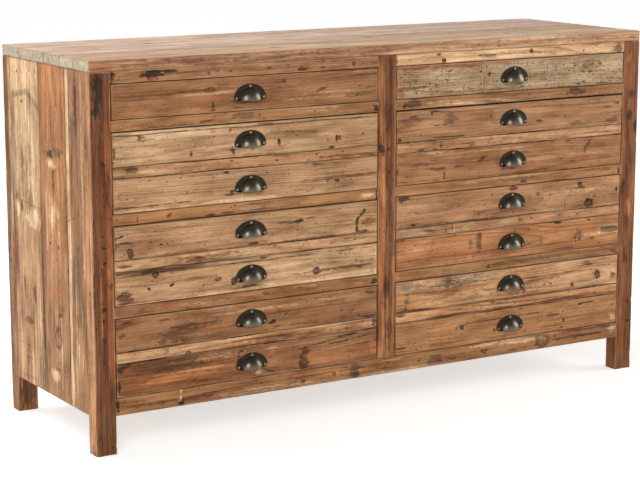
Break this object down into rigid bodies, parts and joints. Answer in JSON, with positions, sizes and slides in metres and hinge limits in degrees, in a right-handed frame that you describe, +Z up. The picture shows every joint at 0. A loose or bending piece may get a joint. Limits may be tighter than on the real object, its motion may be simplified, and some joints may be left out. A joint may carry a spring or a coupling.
{
  "type": "apothecary chest",
  "caption": "Low wide chest in reclaimed pine: plank top, square corner posts, two columns of sliding drawers with doubled fronts and dark metal cup pulls.",
  "frame": {"origin": "floor level, under the middle of the chest with its pulls", "axes": "+X along the width, to the right seen from the front; -Y towards the front; +Z up"},
  "size_m": [1.6, 0.521, 0.92],
  "materials": {
    "top_pine": "waxed reclaimed pine, pinkish tan, with dark seams",
    "frame_pine": "waxed reclaimed pine, reddish brown, worn edges",
    "side_pine": "waxed reclaimed pine planks, pale tan to reddish",
    "drawer_pine": "waxed reclaimed pine boards, mixed tans, knots, nail holes and saw marks",
    "inner_pine": "plain sawn pine",
    "dark_metal": "blackened metal, glossy on the dome, dull on the flange",
    "screw_steel": "bright round-headed steel"
  },
  "bodies": {
    "case": {"top_planks": "top_pine", "front_left_post": "frame_pine", "front_right_post": "frame_pine", "back_left_post": "frame_pine", "back_right_post": "frame_pine", "centre_stile": "frame_pine", "top_rails": "frame_pine", "bottom_rail": "frame_pine", "left_drawer_rails": "frame_pine", "right_drawer_rails": "frame_pine", "left_side_planks": "side_pine", "right_side_planks": "side_pine", "back_boards": "inner_pine", "back_rails": "inner_pine", "centre_partition": "inner_pine", "bottom_panel": "inner_pine", "left_runners": "inner_pine", "centre_runners": "inner_pine", "right_runners": "inner_pine", "drawer_stops": "inner_pine"},
    "left_drawer_1": {"left_drawer_1_front": "drawer_pine", "left_drawer_1_box": "inner_pine", "left_drawer_1_bottom": "inner_pine", "left_drawer_1_cup_pulls": "dark_metal", "left_drawer_1_pull_screws": "screw_steel"},
    "left_drawer_2": {"left_drawer_2_front": "drawer_pine", "left_drawer_2_box": "inner_pine", "left_drawer_2_bottom": "inner_pine", "left_drawer_2_cup_pulls": "dark_metal", "left_drawer_2_pull_screws": "screw_steel"},
    "left_drawer_3": {"left_drawer_3_front": "drawer_pine", "left_drawer_3_box": "inner_pine", "left_drawer_3_bottom": "inner_pine", "left_drawer_3_cup_pulls": "dark_metal", "left_drawer_3_pull_screws": "screw_steel"},
    "left_drawer_4": {"left_drawer_4_front": "drawer_pine", "left_drawer_4_box": "inner_pine", "left_drawer_4_bottom": "inner_pine", "left_drawer_4_cup_pulls": "dark_metal", "left_drawer_4_pull_screws": "screw_steel"},
    "right_drawer_1": {"right_drawer_1_front": "drawer_pine", "right_drawer_1_box": "inner_pine", "right_drawer_1_bottom": "inner_pine", "right_drawer_1_cup_pulls": "dark_metal", "right_drawer_1_pull_screws": "screw_steel"},
    "right_drawer_2": {"right_drawer_2_front": "drawer_pine", "right_drawer_2_box": "inner_pine", "right_drawer_2_bottom": "inner_pine", "right_drawer_2_cup_pulls": "dark_metal", "right_drawer_2_pull_screws": "screw_steel"},
    "right_drawer_3": {"right_drawer_3_front": "drawer_pine", "right_drawer_3_box": "inner_pine", "right_drawer_3_bottom": "inner_pine", "right_drawer_3_cup_pulls": "dark_metal", "right_drawer_3_pull_screws": "screw_steel"},
    "right_drawer_4": {"right_drawer_4_front": "drawer_pine", "right_drawer_4_box": "inner_pine", "right_drawer_4_bottom": "inner_pine", "right_drawer_4_cup_pulls": "dark_metal", "right_drawer_4_pull_screws": "screw_steel"}
  },
  "joints": [
    {"name": "left_drawer_1_slide", "type": "slide", "parent": "case", "child": "left_drawer_1", "axis": [0, -1, 0], "range_m": [0, 0.3]},
    {"name": "left_drawer_2_slide", "type": "slide", "parent": "case", "child": "left_drawer_2", "axis": [0, -1, 0], "range_m": [0, 0.3]},
    {"name": "left_drawer_3_slide", "type": "slide", "parent": "case", "child": "left_drawer_3", "axis": [0, -1, 0], "range_m": [0, 0.3]},
    {"name": "left_drawer_4_slide", "type": "slide", "parent": "case", "child": "left_drawer_4", "axis": [0, -1, 0], "range_m": [0, 0.3]},
    {"name": "right_drawer_1_slide", "type": "slide", "parent": "case", "child": "right_drawer_1", "axis": [0, -1, 0], "range_m": [0, 0.3]},
    {"name": "right_drawer_2_slide", "type": "slide", "parent": "case", "child": "right_drawer_2", "axis": [0, -1, 0], "range_m": [0, 0.3]},
    {"name": "right_drawer_3_slide", "type": "slide", "parent": "case", "child": "right_drawer_3", "axis": [0, -1, 0], "range_m": [0, 0.3]},
    {"name": "right_drawer_4_slide", "type": "slide", "parent": "case", "child": "right_drawer_4", "axis": [0, -1, 0], "range_m": [0, 0.3]}
  ]
}
